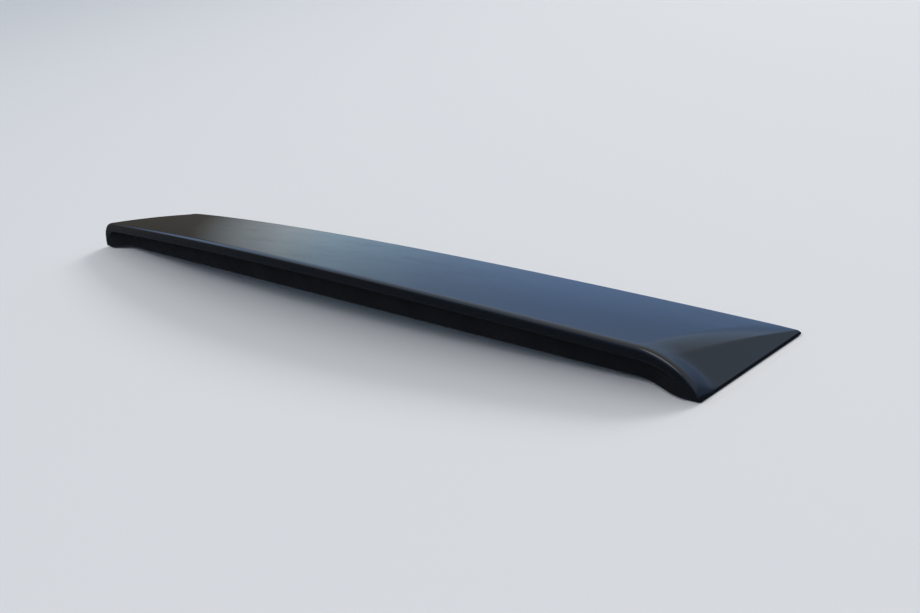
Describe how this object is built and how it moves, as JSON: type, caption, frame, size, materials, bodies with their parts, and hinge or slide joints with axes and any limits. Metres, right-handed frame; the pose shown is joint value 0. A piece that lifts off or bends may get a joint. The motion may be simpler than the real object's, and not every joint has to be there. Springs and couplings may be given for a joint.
{
  "type": "rear window deflector",
  "caption": "Wide low moulded visor with a raised trailing lip and sloping ends, bonded along the top of a saloon car's rear glass.",
  "frame": {"origin": "middle of the plan box, level with the underside of the tape at the two ends, which the part lies on", "axes": "+X to the car's right along the width, +Y towards the leading edge (the roof side), +Z out of the glass"},
  "size_m": [1.1198, 0.1694, 0.0663],
  "materials": {
    "shell_gloss_black": "gloss black, clear coated",
    "foam_tape": "matt dark grey acrylic foam"
  },
  "bodies": {
    "root": {"deflector_shell": "shell_gloss_black", "front_tape": "foam_tape", "rear_tape": "foam_tape", "left_end_tape": "foam_tape", "right_end_tape": "foam_tape"}
  },
  "joints": []
}
